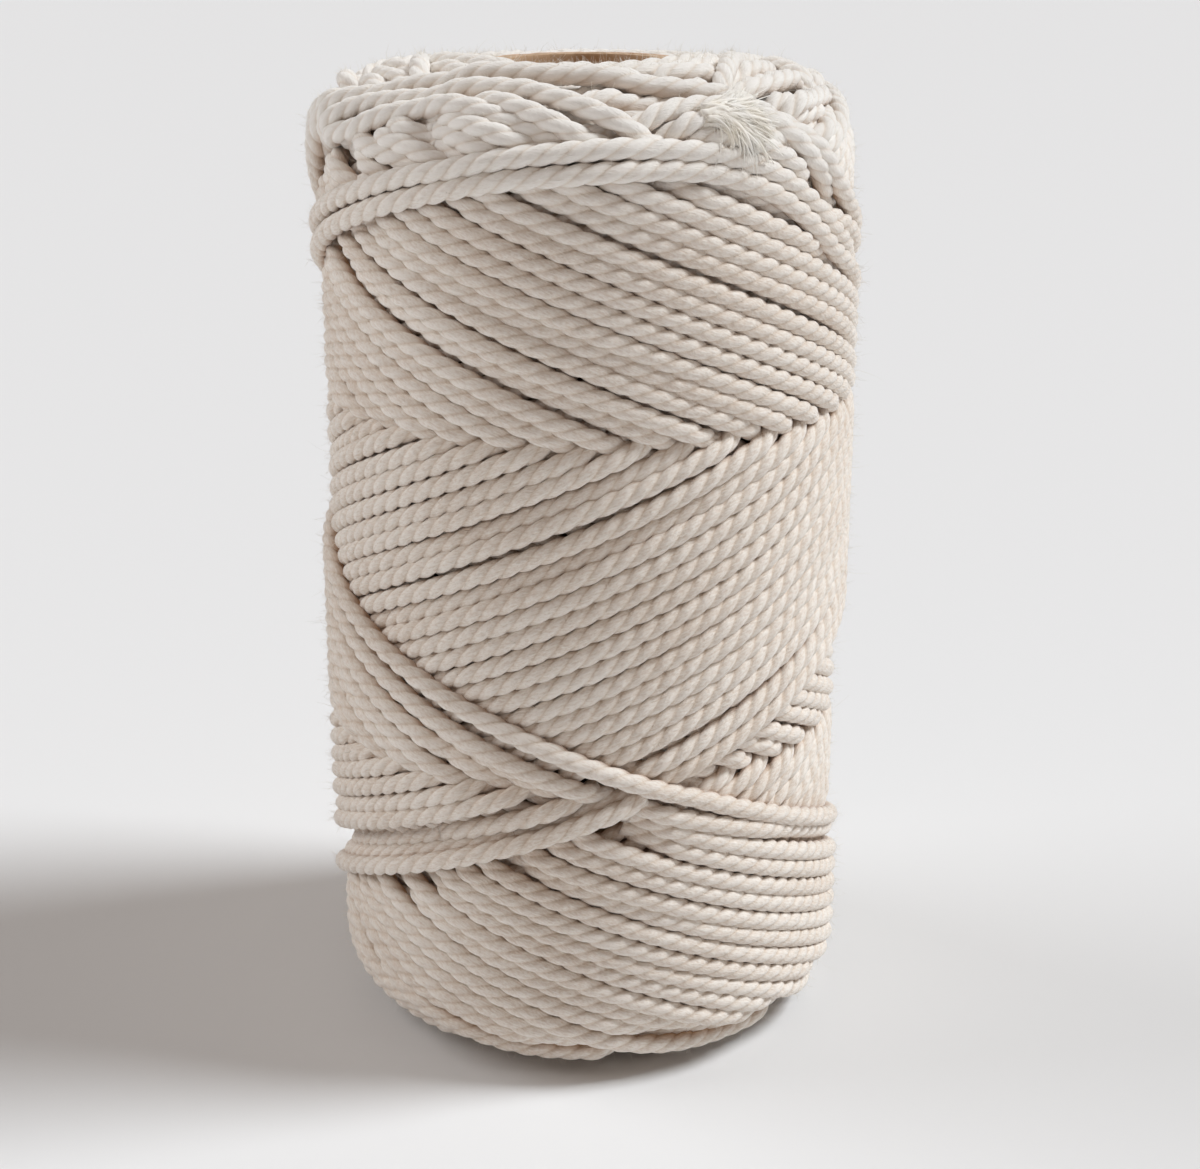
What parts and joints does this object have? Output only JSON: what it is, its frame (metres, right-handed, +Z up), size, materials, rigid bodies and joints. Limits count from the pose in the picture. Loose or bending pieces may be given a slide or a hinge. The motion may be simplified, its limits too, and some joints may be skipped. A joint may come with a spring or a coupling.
{
  "type": "cord spool",
  "caption": "Roll of twisted cotton cord, cross-wound with rounded shoulders on a plain cardboard tube with an open bore, standing on the tube's rim.",
  "frame": {"origin": "centre of the tube's bore at its lower rim, on the surface that the spool stands on", "axes": "+Z up along the bore; -Y towards the side that the cord's cut end shows on; +X to that side's right"},
  "size_m": [0.0896, 0.0896, 0.16],
  "materials": {
    "liner_paper": "matte",
    "tube_board": "matte",
    "wrap_paper": "matte",
    "cotton_cord": "matte"
  },
  "bodies": {
    "root": {"tube_liner_ply": "liner_paper", "tube_inner_board_ply": "tube_board", "tube_middle_board_ply": "tube_board", "tube_outer_board_ply": "tube_board", "tube_wrap_ply": "wrap_paper", "inner_winding": "cotton_cord", "outer_winding": "cotton_cord", "frayed_end": "cotton_cord"}
  },
  "joints": []
}
